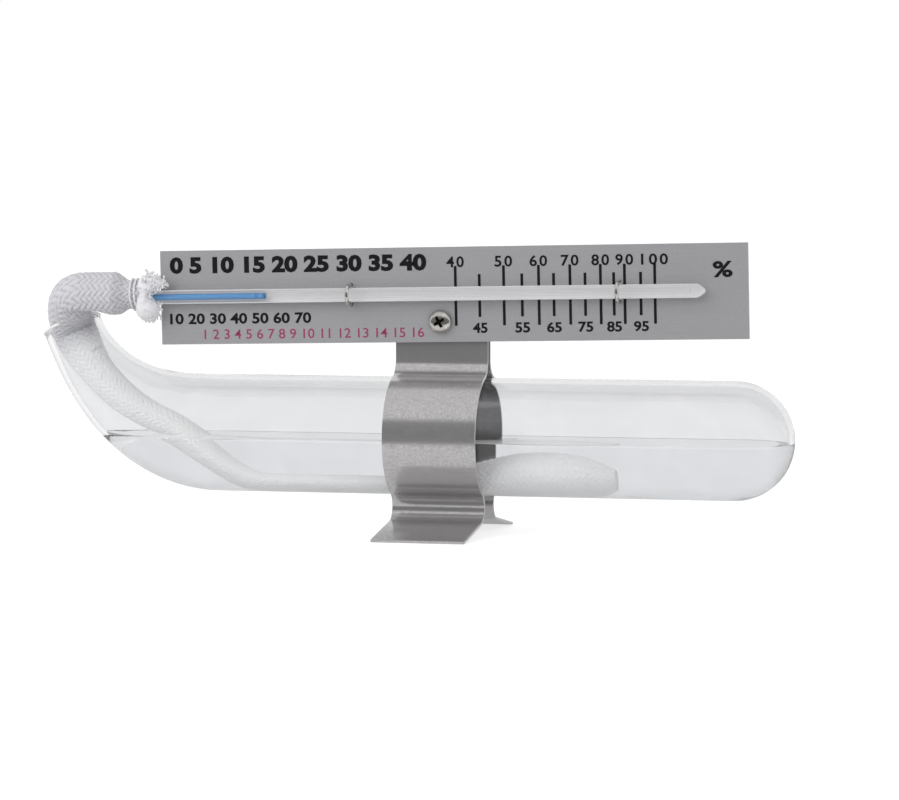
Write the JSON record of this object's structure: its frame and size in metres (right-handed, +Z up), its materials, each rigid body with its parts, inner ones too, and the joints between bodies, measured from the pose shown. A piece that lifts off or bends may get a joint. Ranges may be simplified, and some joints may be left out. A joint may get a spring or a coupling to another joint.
{
  "type": "wet bulb hygrometer",
  "caption": "Wet bulb incubation hygrometer: a spirit thermometer on a plain scale plate, its bulb in a cotton wick that dips into a bent glass reservoir held by a spring clip stand.",
  "frame": {"origin": "on the surface it stands on, under the middle of the spring clip", "axes": "+X along the reservoir toward its round end, -Y toward the scale's face, +Z up"},
  "size_m": [0.1642, 0.0456, 0.062],
  "materials": {
    "printed_plate": "satin grey coating, printed scale",
    "thermometer_glass": "clear drawn glass",
    "spirit": "blue dyed spirit",
    "wire": "bright drawn wire",
    "cotton": "white woven cotton",
    "spring_steel": "brushed along the strip's width",
    "nickel_screw": "bright nickel",
    "reservoir_glass": "clear blown glass",
    "water": "clear water"
  },
  "bodies": {
    "clip": {"spring_clip": "spring_steel", "fixing_screw": "nickel_screw", "fixing_washer": "nickel_screw", "fixing_nut": "nickel_screw", "wick_bend": "cotton"},
    "plate": {"scale_plate": "printed_plate", "thermometer_glass": "thermometer_glass", "spirit_bulb": "spirit", "spirit_thread": "spirit", "stem_clip_left": "wire", "stem_clip_right": "wire", "wick_sleeve": "cotton", "wick_tie": "cotton", "wick_frill": "cotton"},
    "spirit_end": {"spirit_tip": "spirit"},
    "reservoir": {"reservoir_tube": "reservoir_glass", "water_fill": "water", "wick_tail": "cotton"}
  },
  "joints": [
    {"name": "plate_swivel", "type": "hinge", "parent": "clip", "child": "plate", "pos_m": [0, -0.00185, 0.04494], "axis": [0, 1, 0], "range_deg": [0, 5], "deforming": ["wick_bend"]},
    {"name": "reservoir_slide", "type": "slide", "parent": "clip", "child": "reservoir", "axis": [1, 0, 0], "range_m": [-0.004, 0.004], "deforming": ["wick_bend"]},
    {"name": "spirit_reading", "type": "slide", "parent": "plate", "child": "spirit_end", "axis": [0.9998, 0, 0.0209], "range_m": [-0.015, 0.09], "deforming": ["spirit_thread"]}
  ]
}
